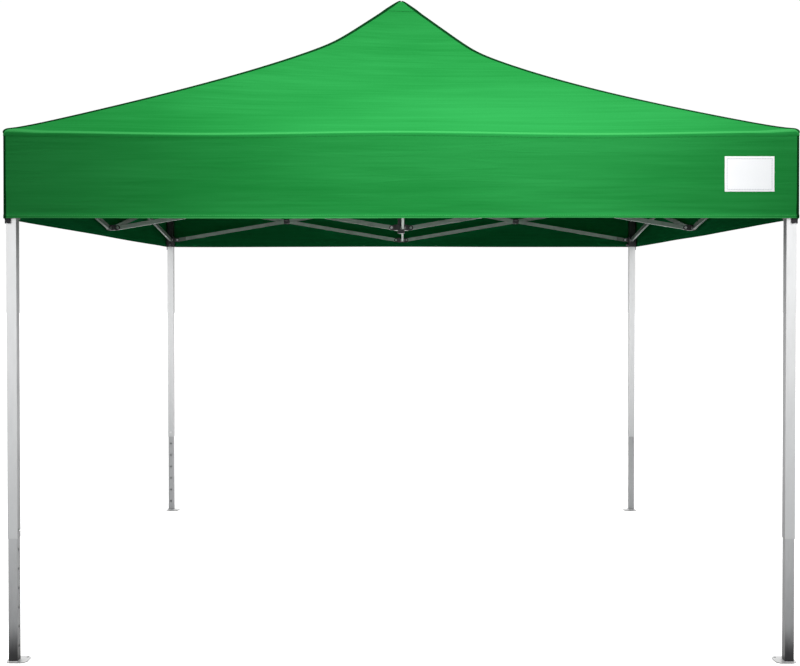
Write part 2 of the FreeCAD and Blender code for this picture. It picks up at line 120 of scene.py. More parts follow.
class Wire:
    """One output of a node. Arithmetic on it adds Math nodes to the same node tree."""

    def __init__(self, board, socket):
        self.board = board
        self.socket = socket

    def math(self, operation, *others):
        return self.board.node("ShaderNodeMath", {"operation": operation},
                               dict(enumerate([self, *others])))

    def __add__(self, other): return self.math("ADD", other)
    def __radd__(self, other): return self.math("ADD", other)
    def __sub__(self, other): return self.math("SUBTRACT", other)
    def __mul__(self, other): return self.math("MULTIPLY", other)
    def __rmul__(self, other): return self.math("MULTIPLY", other)
    def __gt__(self, other): return self.math("GREATER_THAN", other)
    def __lt__(self, other): return self.math("LESS_THAN", other)
    def __abs__(self): return self.math("ABSOLUTE")

    def __rsub__(self, other):
        return self.board.node("ShaderNodeMath", {"operation": "SUBTRACT"}, {0: other, 1: self})

    def ramp(self, low, high):
        """0 below low, 1 above high, and a smooth step between."""
        return self.board.node("ShaderNodeMapRange", {"interpolation_type": "SMOOTHSTEP"},
                               {"Value": self, "From Min": low, "From Max": high})


# %% [markdown]
# The second class is the board on which nodes are set out. Its one `node` method takes a node's
# type, then its settings, then what goes into its sockets, so every node in this file is made in
# the same way, in a finish and in the sky alike. It starts from one set of coordinates, split
# into x, y and z, because nearly every texture below asks where it is.

# %% Set out nodes


def set_stops(ramp, stops):
    """Give a colour ramp its stops, each a position and a colour, in rising order."""
    for where, _ in stops[1:-1]:
        ramp.elements.new(where)
    for element, (where, colour) in zip(ramp.elements, stops):
        element.position = where
        element.color = (*colour, 1)


class Board:
    """A node tree, built one node at a time."""

    def __init__(self, tree, coordinates):
        self.tree = tree
        self.place = self.node("ShaderNodeTexCoord", {}, {}, coordinates)
        apart = self.node("ShaderNodeSeparateXYZ", {}, {"Vector": self.place}, None)
        self.x, self.y, self.z = (Wire(self, apart.outputs[i]) for i in range(3))

    def node(self, kind, settings, inputs, output=0):
        """Add a node and give back one output of it, or the node itself for output None."""
        made = self.tree.nodes.new(kind)
        for key, value in settings.items():
            if key == "stops":
                set_stops(made.color_ramp, value)
            else:
                setattr(made, key, value)
        self.feed(made, inputs)
        return made if output is None else Wire(self, made.outputs[output])

    def feed(self, made, inputs):
        for key, value in inputs.items():
            if isinstance(value, Wire):
                self.tree.links.new(value.socket, made.inputs[key])
            else:
                made.inputs[key].default_value = value


print("node board ready")

# %% [markdown]
# A finish is a board with a shader at its end. `close` sets the numbers that are the same all
# over straight on the shader, and links only what changes over the surface, because an exported
# model keeps a plain number and can lose a linked one.

# %% Describe a finish


class Finish(Board):
    """A material whose textures go by the place on the object, in metres."""

    def __init__(self, name):
        self.material = bpy.data.materials.new(name)
        self.material.use_nodes = True
        super().__init__(self.material.node_tree, "Object")
        self.shader = self.tree.nodes["Principled BSDF"]

    def mix(self, share, a, b):
        """Colour a where share is 0, colour b where it is 1."""
        values = [c if isinstance(c, Wire) else (*c, 1) for c in (a, b)]
        return self.node("ShaderNodeMix", {"data_type": "RGBA"},
                         {0: share, 6: values[0], 7: values[1]}, 2)

    def point(self, x, y, z):
        return self.node("ShaderNodeCombineXYZ", {}, {0: x, 1: y, 2: z})

    def cloud(self, scale, where=None, detail=3.0, rough=0.5):
        """Soft noise from 0 to 1."""
        inputs = {"Scale": scale, "Detail": detail, "Roughness": rough,
                  "Vector": self.place if where is None else where}
        return self.node("ShaderNodeTexNoise", {}, inputs, "Fac")

    def bump(self, height, distance, strength=1.0):
        return self.node("ShaderNodeBump", {},
                         {"Height": height, "Distance": distance, "Strength": strength},
                         "Normal")

    def close(self, **inputs):
        """Feed the shader and hand the finished material over."""
        self.feed(self.shader, {k.replace("_", " "): v for k, v in inputs.items()})
        return self.material


print("shader helpers ready")

# %% [markdown]
# ## Canopy cloth
# The canopy is a woven polyester, dyed green, with a water-tight coating inside. Three things
# make it read as cloth: a fine weave in the bump, slubs that run along each side with the weft,
# and a soft change of tone from panel to panel. The hem is rubbed paler, the fold at the eave
# has a painted highlight, a paler line where it would catch the light, and a row of stitches
# runs above the hem. A painted texture would need the mesh laid flat first, and it would repeat
# over three metres. All of this is worked out from the place in space instead, so nothing
# repeats and no seam in the mesh can cut the weave. `along` runs along a side, `across` out from
# the middle, and the nearest of the four sides is picked by which of x and y is larger.

# %% Weave the cloth
THREAD = 0.0022
STITCH = 0.0066
HEM_TALL = 0.014
SEAM_HEIGHT = HEM + HEM_TALL - 0.003


def cloth(name, deep, fresh, overlay, rough, inside=False):
    """Woven cloth between two tones, deep and fresh, paler where the hem is rubbed,
    and with a painted highlight along the fold at the eave.
    """
    f = Finish(name)
    reach_x, reach_y = abs(f.x), abs(f.y)
    on_end = reach_x > reach_y
    along = f.x + on_end * (f.y - f.x)
    across = reach_x + (1 - on_end) * (reach_y - reach_x)
    climb = f.z + across
    warp = (along * (math.tau / THREAD)).math("SINE")
    weft = (climb * (math.tau / THREAD)).math("SINE")
    weave = warp * weft
    slub = f.cloud(1.0, f.point(along * 2.6, across * 70, f.z * 70), 3.0, 0.6)
    streak = f.cloud(1.0, f.point(along * 1.1, across * 16, f.z * 16), 2.0, 0.5)
    tone = f.cloud(0.9, f.point(f.x, f.y, f.z * 1.7), 2.0, 0.45)
    crease = 1 - abs(streak - 0.5).ramp(0.0, 0.035)
    share = 0.5 + (tone - 0.5) + (slub - 0.5) * 0.5 + (streak - 0.5) * 0.35
    colour = f.mix(share.ramp(0.05, 0.95), deep, fresh)
    # Painted highlight: the fold at the eave is made paler, where it would catch the light.
    fold = across.ramp(REACH - 0.030, REACH - 0.016) * (across < REACH - 0.0012)
    fold = fold * (f.z > EAVE - 0.03)
    hem_edge = 1 - abs(f.z - HEM).ramp(0.003, 0.006)
    seam = 1 - abs(f.z - SEAM_HEIGHT).ramp(0.0005, 0.0012)
    dash = (along * (math.tau / STITCH)).math("SINE") > -0.35
    stitch = seam * dash
    # The fold's painted highlight and the rubbed hem both turn the colour paler.
    colour = f.mix((fold + hem_edge) * (0.15 if inside else 0.65), colour, overlay)
    colour = f.mix(stitch * 0.65, colour, [c * 1.5 + 0.02 for c in overlay])
    height = weave * 0.35 + slub * 1.6 + crease * 1.2 + stitch * 3
    return f.close(Base_Color=colour, Roughness=rough + (slub - 0.5) * 0.2,
                   Normal=f.bump(height, 0.0003, 0.55), Specular_IOR_Level=0.0)


canopy_cloth = cloth("canopy_cloth", deep=(0.007, 0.150, 0.024), fresh=(0.020, 0.230, 0.051),
                     overlay=(0.045, 0.310, 0.080), rough=0.78)
# The lining is painted a paler, brighter green than the outside: painted light, standing in for
# daylight that shines through the cloth.
canopy_lining = cloth("canopy_lining", deep=(0.010, 0.300, 0.080), fresh=(0.020, 0.460, 0.140),
                      overlay=(0.030, 0.500, 0.160), rough=0.6, inside=True)
binding_cloth = cloth("binding_cloth", deep=(0.002, 0.026, 0.006), fresh=(0.004, 0.045, 0.010),
                      overlay=(0.008, 0.070, 0.018), rough=0.8)
print("cloth:", canopy_cloth.name, canopy_lining.name, binding_cloth.name)

# %% [markdown]
# ## Metal
# The outer tubes are steel with a pale powder coat. Powder coat has a fine orange-peel skin, and
# it gets scuffed and dusty low down, where the legs stand in grass. The back legs are painted
# paler as painted light, to make up for the canopy's shadow on them. The inner tubes slide, so
# they are plain zinc-plated steel: darker, with faint long scratches, soiled almost black near
# the ground, and with a foot plate that is pale on top and dark round its edge. On its faces
# towards the next leg a tube has a dark strip of painted shade, and at the top, under the
# bracket, it is painted almost black as the canopy's shade. One plain grey would look like a
# drawing, and a texture wrapped round each leg would have to be painted. Height and noise alone
# are enough to tell all this.

# %% Coat the tubes
SHADED_FACE_LIMIT = LEG_LINE - LEG_HALF + 0.0022
SHADED_FACE_HALF = LEG_HALF - 0.0025
NEAR_A_LEG = LEG_LINE - 0.1
CANOPY_SHADE_FOOT = 1.716
PLATE_TOP = 0.003


def tube_coat(name, pale, dusty, low, high, rough, metal, scratch, face_shade=0.0, soiled=False):
    """pale above the height high, dusty below low, and painted paler on the back legs as painted
    light, for the canopy's shadow on them.

    A nonzero share of painted shade darkens the faces that look along the sides, and then the top
    of the tube is painted almost black, as shade under the canopy. soiled blackens the foot of the
    tube, down to a foot plate that is pale on top and dark round its edge."""
    f = Finish(name)
    scuff = f.cloud(9.0, f.point(f.x * 3, f.y * 3, f.z * 0.8), 4.0, 0.6)
    peel = f.cloud(420.0, None, 2.0)
    lines = f.cloud(1.0, f.point(f.x * 900, f.y * 900, f.z * 6), 2.0)
    # Painted light: the back legs, with y above 0, are painted paler, to make up for the canopy's
    # shadow on them.
    back_legs_painted_paler = (f.y > 0) * 0.35
    clean_and_lit = (f.z + (scuff - 0.5) * 0.35 + back_legs_painted_paler).ramp(low, high)
    colour = f.mix(clean_and_lit, dusty, pale)
    worn = scuff.ramp(0.60, 0.78)
    colour = f.mix(worn * 0.25, colour, [c * 0.72 for c in pale])
    colour = f.mix(lines.ramp(0.55, 0.75) * scratch, colour, [c * 0.6 for c in dusty])
    if face_shade:
        # Painted shade: a dark strip on the faces that look along the sides, which face in under
        # the canopy.
        facing = (abs(f.x) < SHADED_FACE_LIMIT) * (abs(f.y) > NEAR_A_LEG)
        overlay = facing * (abs(abs(f.y) - LEG_LINE) < SHADED_FACE_HALF)
        colour = f.mix(overlay * face_shade, colour, (0.10, 0.10, 0.105))
        # Painted shade: above this height, in the shade under the canopy, the tube is painted
        # almost black.
        colour = f.mix(f.z.ramp(CANOPY_SHADE_FOOT, CANOPY_SHADE_FOOT + 0.004), colour, (0.03, 0.035, 0.032))
    if soiled:
        # The foot is soiled almost black; on the back legs less so, and that part is painted light.
        soil = 1 - (f.z + (scuff - 0.5) * 0.05 + back_legs_painted_paler * 0.6).ramp(0.02, 0.16)
        colour = f.mix(soil * 0.97, colour, (0.014, 0.014, 0.015))
        # The foot plate is pale on top and dark round its edge.
        plate = f.mix(f.z > PLATE_TOP - 0.0003, (0.10, 0.10, 0.10), (0.72, 0.72, 0.72))
        colour = f.mix(f.z < PLATE_TOP + 0.0002, colour, plate)
    height = peel * 0.5 + lines * scratch - worn * 0.4
    return f.close(Base_Color=colour, Roughness=rough + (scuff - 0.5) * 0.25 + worn * 0.1,
                   Metallic=metal, Normal=f.bump(height, 0.0002, 0.4))


outer_coat = tube_coat("outer_leg_coat", (0.66, 0.665, 0.67), (0.33, 0.335, 0.34), low=0.35,
                       high=1.8, rough=0.36, metal=0.75, scratch=0.10, face_shade=0.8)
inner_coat = tube_coat("inner_leg_zinc", (0.30, 0.305, 0.31), (0.15, 0.152, 0.155), low=-0.05,
                       high=0.55, rough=0.40, metal=0.75, scratch=0.20, face_shade=0.6, soiled=True)
snap_steel = tube_coat("snap_steel", (0.62, 0.62, 0.63), (0.5, 0.5, 0.51), low=0.0, high=0.4,
                       rough=0.28, metal=0.9, scratch=0.4)
mast_coat = tube_coat("mast_coat", (0.30, 0.305, 0.30), (0.12, 0.125, 0.12), low=1.75, high=2.3,
                      rough=0.36, metal=0.3, scratch=0.15)
print("tubes:", outer_coat.name, inner_coat.name, snap_steel.name, mast_coat.name)

# %% [markdown]
# A crossed bar is one node of several solids: the tube, the rivets at its ends and a washer
# between the two bars. Cutting the mesh up to give each its own material would change a node of
# the frame, so they are told apart by how far they lie from the plane in which the pair crosses.
# That way one finish can leave the washer black and the rivet heads bright. The bars along the
# left and right sides stand in the shade of the canopy, so they are painted a darker green-grey:
# painted shade.

# %% Coat the crossed bars
WASHER_HALF = 0.0019
RIVET_FROM = 0.0142


def bar_coat(name, on_axis):
    """The finish of the arms to the mast, on an axis, or of the bars along the sides."""
    f = Finish(name)
    reach_x, reach_y = abs(f.x), abs(f.y)
    if on_axis:
        offset = reach_x.math("MINIMUM", reach_y)
    else:
        offset = abs(reach_x.math("MAXIMUM", reach_y) - LEG_LINE)
    washer = offset < WASHER_HALF
    rivet = offset > RIVET_FROM
    scuff = f.cloud(14.0, None, 4.0, 0.6)
    peel = f.cloud(420.0, None, 2.0)
    colour = f.mix(scuff.ramp(0.35, 0.75), (0.50, 0.60, 0.53), (0.38, 0.46, 0.41))
    if not on_axis:
        # Painted shade: the bars along the left and right sides are painted darker, for the
        # canopy's shade on them.
        colour = f.mix((reach_x > NEAR_A_LEG) * 0.7, colour, (0.14, 0.17, 0.15))
    colour = f.mix(rivet, colour, (0.40, 0.40, 0.41))
    colour = f.mix(washer, colour, (0.02, 0.02, 0.022))
    return f.close(Base_Color=colour, Metallic=rivet * 0.8 + (1 - rivet) * (1 - washer) * 0.15,
                   Roughness=0.4 + (scuff - 0.5) * 0.25,
                   Normal=f.bump(peel * 0.5 - scuff.ramp(0.6, 0.8) * 0.5, 0.0002, 0.4))


side_bar_coat = bar_coat("side_bar_coat", on_axis=False)
arm_coat = bar_coat("arm_coat", on_axis=True)
print("bars:", side_bar_coat.name, arm_coat.name)

# %% [markdown]
# The brackets, sliders and hubs are black nylon, moulded with a fine spark-eroded grain. Where
# hands touch it, it turns slightly grey, in soft patches of noise. The grain is far too fine to
# model, so it is a bump of a tenth of a millimetre. The sliders' buttons are dark grey.

# %% Mould the plastic


def moulding(name, colour, overlay, rough):
    """Grained plastic that turns towards rubbed where it wears."""
    f = Finish(name)
    grain = f.cloud(900.0, None, 2.0)
    wear = f.cloud(38.0, None, 4.0, 0.6).ramp(0.5, 0.8)
    return f.close(Base_Color=f.mix(wear * 0.5, colour, overlay),
                   Roughness=rough + wear * 0.12 + (grain - 0.5) * 0.1,
                   Normal=f.bump(grain, 0.00012, 0.5))


black_nylon = moulding("black_nylon", (0.016, 0.016, 0.018), (0.05, 0.05, 0.052), 0.42)
hub_nylon = moulding("hub_nylon", (0.013, 0.013, 0.015), (0.045, 0.045, 0.047), 0.36)
button_nylon = moulding("button_nylon", (0.10, 0.10, 0.105), (0.17, 0.17, 0.175), 0.38)
print("plastic:", black_nylon.name, hub_nylon.name, button_nylon.name)

# %% [markdown]
# Each node of the frame keeps its shape and only changes its finish. Naming a finish for every
# node by hand would be long and easy to get wrong. The record says which slot each node has, so
# a short table from slot to finish does all sixty.

# %% Dress the frame
slot_of = {part["node"]: part["material_slot"] for part in frame["record"]["subparts"]}
FINISH_OF = {"outer_leg": outer_coat, "lower_leg": inner_coat, "bracket": black_nylon,
             "hub": hub_nylon, "slider_button": button_nylon, "leg_button": snap_steel,
             "mast": mast_coat, "canopy_fabric": canopy_cloth}
for name, node in frame["nodes"].items():
    if slot_of[name] == "scissor_bar":
        finish = arm_coat if name.startswith("arm_") else side_bar_coat
    else:
        finish = FINISH_OF[slot_of[name]]
    if not node.material_slots:
        node.data.materials.append(finish)
    for held in node.material_slots:
        held.material = finish
print(len(frame["nodes"]), "nodes dressed")

# %% [markdown]
# ## The canopy's shape
# The roof rises in a slow curve along each hip, bends up where the mast starts to push, and ends
# in a small round tip. Between the hips it sags a little. Near each corner it sits on the top
# bracket, so it stands a few millimetres higher there. A cloth simulation could find such a
# shape, but it is slow and never stops quite where the frame is. A formula for the height gives
# the same sheet every time. Nobody pulls a canopy quite straight, so each hip has its own
# numbers: where it bends, how steeply it starts and how much it curls up.

# %% Shape of the roof
HIPS = np.array([(0.79, 0.68, 0.13), (0.765, 0.60, 0.19), (0.775, 0.65, 0.17),
                 (0.78, 0.66, 0.16)])
PEAK_RISE = canopy_high.z - EAVE + 0.008
TIP_ROUND = 0.014
BEND_ROUND = 0.020
SAG, BRACKET_LIFT, EAVE_DIP = 0.016, 0.010, 0.009


def smooth(value, low, high):
    """The ramp of the shaders once more, for arrays: 0 below low, 1 above high."""
    share = np.clip((value - low) / (high - low), 0, 1)
    return share * share * (3 - 2 * share)


def hip_rise(t, bend, start, curl):
    """Height above the eave, with t from 0 at the eave to 1 at the peak."""
    slow = start * t + curl * t ** 3
    at_bend = start * bend + curl * bend ** 3
    slope = (PEAK_RISE - at_bend) / (1 - bend)
    left = np.sqrt((1 - t) ** 2 + (TIP_ROUND / REACH) ** 2)
    steep = PEAK_RISE - slope * left
    return 0.5 * (slow + steep + np.sqrt((slow - steep) ** 2 + BEND_ROUND ** 2))


def roof_height(side, s, t):
    """Height of the sheet. s runs from -1 at the left hip of a side to 1 at its right hip."""
    s = np.asarray(s, float)
    t = np.asarray(t, float)
    left, right = HIPS[side], HIPS[(side + 1) % 4]
    bend, start, curl = (a + (b - a) * (s + 1) / 2 for a, b in zip(left, right))
    edge = np.abs(s)
    sag = SAG * (1 - edge ** 2) * np.sin(math.pi * np.clip(t, 0, 1) ** 0.8)
    shelf = BRACKET_LIFT * smooth(edge, 0.90, 1.0) * np.exp(-t / 0.035)
    dip = EAVE_DIP * np.sin(math.pi * edge) ** 2 * np.exp(-t / 0.12)
    return EAVE + 0.001 + hip_rise(t, bend, start, curl) - sag + shelf - dip


for t in (0.0, 0.25, 0.5, 0.75, 1.0):
    print(f"t {t:.2f}: hip {float(roof_height(0, 1, t)):.3f}, "
          f"middle {float(roof_height(0, 0, t)):.3f} m")

# %% [markdown]
# A side is drawn once, facing the front, and turned by quarter turns for the other three. The
# ring that the canopy makes from above is a square with small round corners, and the fold from
# roof to valance is an arc, tight in the middle and rounder over the brackets.

# %% Points of the sheet
CORNER_ROUND = 0.016


def ring(s):
    """Outline from above, seen as the front side: points and outward directions."""
    flat = 1 - CORNER_ROUND / REACH
    centre = REACH - CORNER_ROUND
    turn = (np.abs(s) - flat) / (1 - flat) * math.pi / 4
    round_part = np.abs(s) > flat
    sign = np.sign(s)
    x = np.where(round_part, sign * (centre + CORNER_ROUND * np.sin(turn)), s * REACH)
    y = np.where(round_part, -(centre + CORNER_ROUND * np.cos(turn)), -REACH)
    out_x = np.where(round_part, sign * np.sin(turn), 0.0)
    out_y = np.where(round_part, -np.cos(turn), -1.0)
    return x, y, out_x, out_y


FOLD_TIGHT, FOLD_WIDE = 0.007, 0.020


def fold_round(s):
    """Radius of the fold from roof to valance."""
    return FOLD_TIGHT + (FOLD_WIDE - FOLD_TIGHT) * smooth(np.abs(s), 0.86, 1.0)


def fold_centre(side, s):
    """Slope of the roof at the eave, and the height of the middle of the fold's arc."""
    step = 0.03
    start = roof_height(side, s, 0.0)
    slope = (roof_height(side, s, step) - start) / (step * REACH)
    radius = fold_round(s)
    return slope, start + slope * radius - radius * np.sqrt(1 + slope ** 2)


def turned(points, side):
    """Points of the front side as x, y and z, turned to another side and put in one array."""
    x, y, z = points
    for _ in range(side):
        x, y = -y, x
    return np.stack([x, y, z], axis=-1)


def turned_grid(grid, quarters):
    """An array of points, turned by quarter turns."""
    return turned(np.moveaxis(grid, -1, 0), quarters)


print("fold radius", float(fold_round(np.array(0.0))), "to", float(fold_round(np.array(1.0))))

# %% [markdown]
# Tension lines and ripples come from smooth noise with a fixed pattern. On the roof they run
# from the corners towards the peak; on the valance they are low sideways creases, left from when
# the canopy lay folded in its bag. They move the points themselves, by a few millimetres, so
# that they catch the light and the outline is not ruler-straight. A bump could only do the
# first. The points lie closer together where the sheet bends most: in the corners and the tip.

# %% Ripples
ROOF_COLUMNS = 44


def ripple(points, stretch, shift):
    """Smooth noise at each point, after stretching space and shifting it."""
    flat = points.reshape(-1, 3)
    found = [noise.noise(Vector((p[0] * stretch[0] + shift, p[1] * stretch[1], p[2] * stretch[2])))
             for p in flat]
    return np.array(found).reshape(points.shape[:-1])


def end_columns(end, count):
    """s from the middle of a side to one of its hips, closer together at the round corner."""
    flat = 1 - CORNER_ROUND / REACH
    main = np.linspace(0, 1, count) ** 0.9 * (flat - 0.004)
    s = np.concatenate([main, [flat], np.linspace(flat, 1, 6)[1:]])
    return s if end == "right" else -s


def roof_rows():
    """t from the eave to the peak, closer together from the bend up to the tip."""
    low = np.linspace(0, 0.60, 40)
    high = np.linspace(0.60, 0.93, 40)[1:]
    tip = 1 - np.geomspace(0.07, 0.0006, 18)[1:]
    return np.concatenate([low, high, tip])


print(len(end_columns("left", ROOF_COLUMNS)), "columns,", len(roof_rows()), "rows on half a side")

# %% [markdown]
# A sheet is a grid of points. Its second layer lies one cloth's thickness outside the first, and
# a narrow strip closes the two along the edge, so each piece is a real, closed sheet. A Solidify
# modifier does much the same, but here the two faces also get their own finish, the cloth
# outside and the lining inside. The edges of the strip are marked sharp: otherwise the shading
# would roll round them and draw a dark line where two halves meet.

# %% Turn a grid into cloth
CLOTH_THICK = 0.0009


def new_mesh(name, points, faces, *finishes):
    """A mesh with its materials. Its first one goes on every face."""
    mesh = bpy.data.meshes.new(name)
    mesh.from_pydata(points, [], faces)
    for finish in finishes:
        mesh.materials.append(finish)
    return mesh


def grid_normals(grid):
    """Unit vector across the sheet at each point."""
    down, along = np.gradient(grid, axis=0), np.gradient(grid, axis=1)
    across = np.cross(along, down)
    return across / np.maximum(np.linalg.norm(across, axis=-1, keepdims=True), 1e-12)


def quads(rows, columns, start, flip):
    """The faces of a grid whose points start at the number start."""
    for r in range(rows - 1):
        for c in range(columns - 1):
            a = start + r * columns + c
            quad = (a, a + 1, a + columns + 1, a + columns)
            yield quad[::-1] if flip else quad


def edge_loop(rows, columns):
    """The points along the four edges of a grid, in order."""
    top = list(range(columns))
    right = [r * columns + columns - 1 for r in range(1, rows)]
    bottom = [(rows - 1) * columns + c for c in range(columns - 2, -1, -1)]
    left = [r * columns for r in range(rows - 2, 0, -1)]
    return top + right + bottom + left


def sheet_from(name, grid, outer, inner, flip, thick=CLOTH_THICK):
    """A closed sheet. grid is its inner face, and flip is for a grid that runs the other way."""
    rows, columns = grid.shape[:2]
    count = rows * columns
    across = grid_normals(grid) * (1.0 if flip else -1.0)
    points = np.concatenate([grid.reshape(-1, 3), (grid + across * thick).reshape(-1, 3)])
    faces = list(quads(rows, columns, 0, flip)) + list(quads(rows, columns, count, not flip))
    loop = edge_loop(rows, columns)
    for a, b in zip(loop, loop[1:] + loop[:1]):
        strip = (b, a, a + count, b + count)
        faces.append(strip[::-1] if flip else strip)
    mesh = new_mesh(name, [tuple(p) for p in points], faces, outer, inner)
    mesh.shade_smooth()
    for face in mesh.polygons[:(rows - 1) * (columns - 1)]:
        face.material_index = 1
    rim = {tuple(sorted(pair)) for pair in zip(loop, loop[1:] + loop[:1])}
    rim |= {(a + count, b + count) for a, b in rim}
    sharp = [tuple(sorted(edge.vertices)) in rim for edge in mesh.edges]
    mark = mesh.attributes.new("sharp_edge", "BOOLEAN", "EDGE")
    mark.data.foreach_set("value", sharp)
    return put_in_scene(name, mesh)


def grid_area(grid):
    """Area of a grid of points, in square metres."""
    a, b, c, d = grid[:-1, :-1], grid[:-1, 1:], grid[1:, 1:], grid[1:, :-1]
    halves = (np.cross(b - a, c - a), np.cross(c - a, d - a))
    return sum(np.linalg.norm(h, axis=-1).sum() for h in halves) / 2


print("cloth is", CLOTH_THICK * 1000, "mm thick")

# %% [markdown]
# ## The roof
# The real roof is four panels. Each is made here as two halves that meet in the middle, because
# each half hangs on its own bar when the frame folds, and one rigid panel would stay behind in
# the air. The halves share the points of their edges, so at rest the roof is one sheet.

# %% Lay out the roof
FLAP = 0.007


def tension(side, s, t, points):
    """How far the tension lines lift the roof at these points of the front side."""
    spread = np.sin(math.pi * np.clip(t, 0, 1)) * (1 - np.abs(s) ** 6) * np.clip(t / 0.05, 0, 1)
    return spread * (0.004 * ripple(points, (2.1, 3.4, 2.0), side * 7.3)
                     + 0.0016 * ripple(points, (7.0, 9.0, 5.0), side * 3.1))


def roof_grid(side, s):
    """Rows of points from the flap below the fold up to the peak, for the columns s."""
    x, y = ring(s)[:2]
    slope, middle = fold_centre(side, s)
    radius = fold_round(s)
    rows = [(x, y, middle - FLAP), (x, y, middle - FLAP * 0.5)]
    last = math.pi / 2 + np.arctan(slope)
    for share in np.linspace(0, 1, 7):
        turn = math.pi + (last - math.pi) * share
        scale = 1 - radius * (1 + np.cos(turn)) / REACH
        rows.append((x * scale, y * scale, middle + radius * np.sin(turn)))
    first = radius * (1 - np.sin(np.arctan(slope))) / REACH
    for t in roof_rows()[1:]:
        at = first + (1 - first) * t
        z = roof_height(side, s, at)
        points = np.stack([x * (1 - at), y * (1 - at), z], axis=-1)
        rows.append((x * (1 - at), y * (1 - at), z + tension(side, s, at, points)))
    return np.stack([turned(row, side) for row in rows])


print("roof grid", roof_grid(0, end_columns("left", ROOF_COLUMNS)).shape[:2], "points")

# %% [markdown]
# When the frame folds, the cloth between the bars has nowhere to go but into folds. A pose can
# only move whole pieces, so a piece of cloth rides on the bar it lies on.


def side_vector(vector, side):
    """A direction of the front side, turned to another side."""
    return Matrix.Rotation(side * math.pi / 2, 3, "Z") @ Vector(vector)


def hang_on_bar(piece, side, end):
    """The piece rides on the bar of its half of the side, with a mesh of its own."""
    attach(piece, f"{SIDES[side]}_high_bar_{end}")
    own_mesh(piece)


# %% [markdown]
# Now the halves can be cut and hung. The left half of a side lies on its left bar and the right
# half on its right bar. Together they take the place of the plain canopy skin of the frame.

# %% Cut the roof
for side in range(4):
    for end in ("left", "right"):
        grid = roof_grid(side, end_columns(end, ROOF_COLUMNS))
        name = f"roof_{SIDES[side]}_{end}"
        piece = sheet_from(name, grid, canopy_cloth, canopy_lining, end == "right")
        hang_on_bar(piece, side, end)
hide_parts("canopy")

# %% [markdown]
# ## The valance
# The valance is sewn on just under the fold and hangs straight down to a folded hem. It has low
# sideways creases, it swings out by a few millimetres towards the hem, and the hem itself is two
# layers thick, so it stands proud by a small step. A flat strip would be quicker, but from below
# and from the side its edge would look like board. Each row of the grid is the ring of the
# canopy, pushed outwards by the sum of these small moves.

# %% Hang the valance
VALANCE_COLUMNS = 60


def valance_grid(side, s):
    """Rows of points from the seam under the fold down to the hem, for the columns s."""
    x, y, out_x, out_y = ring(s)
    top = fold_centre(side, s)[1] - FLAP * 0.35
    body = np.linspace(0, 1, 34)[:-1] * (1 - HEM_TALL / VALANCE_DROP)
    step = 1 - np.array([HEM_TALL + 0.001, HEM_TALL - 0.001, 0.008, 0.004, 0.0015,
                         0.0]) / VALANCE_DROP
    rows = []
    for share in np.concatenate([body, step]):
        z = top + (HEM + 0.0005 - top) * share
        free = smooth(share, 0.02, 0.9) * (1 - np.abs(s) ** 30)
        start = np.stack([x, y, z], axis=-1)
        wave = 0.5 + 0.5 * ripple(start, (1.9, 0.1, 0.7), side * 5.7)
        small = ripple(start, (3.2, 0.1, 21.0), side * 2.9)
        push = -0.0008 + free * (0.0075 * wave * share + 0.0011 * small)
        push = push + 0.0009 * smooth(share, 1 - (HEM_TALL + 0.0005) / VALANCE_DROP,
                                      1 - (HEM_TALL - 0.0005) / VALANCE_DROP)
        push = push - 0.0006 * smooth(share, 0.996, 1.0)
        rise = 0.0035 * ripple(start, (0.9, 0.1, 0.0), side * 1.7) * smooth(share, 0.5, 1.0)
        rise = rise * (1 - np.abs(s) ** 8)
        rows.append((x + out_x * push, y + out_y * push, z + rise))
    return np.stack([turned(row, side) for row in rows])


for side in range(4):
    for end in ("left", "right"):
        grid = valance_grid(side, end_columns(end, VALANCE_COLUMNS))
        name = f"valance_{SIDES[side]}_{end}"
        piece = sheet_from(name, grid, canopy_cloth, canopy_lining, end == "left")
        hang_on_bar(piece, side, end)

# %% [markdown]
# ## Hip bindings
# The four panels of the roof are sewn together along the hips. A dark tape covers each seam, and
# the piping in the seam raises a thin ridge along its middle. A curve with a bevel would give
# a tube and not a tape. Here the tape is a grid of nine columns: one along the hip, and four on
# each wing, which take their height from the panel that the wing lies on. Near the peak it
# steps up onto the patch.

# %% Bind the hips
TAPE_WING = 0.015
TAPE_THICK = 0.0010
WING_SHARES = (-1.0, -0.6, -0.3, -0.18, 0.0, 0.18, 0.3, 0.6, 1.0)
TAPE_LIFT = 0.0022
PIPING = 0.0032
PATCH_REACH = 0.085
PATCH_STEP = 0.0022
TINY = 1e-6


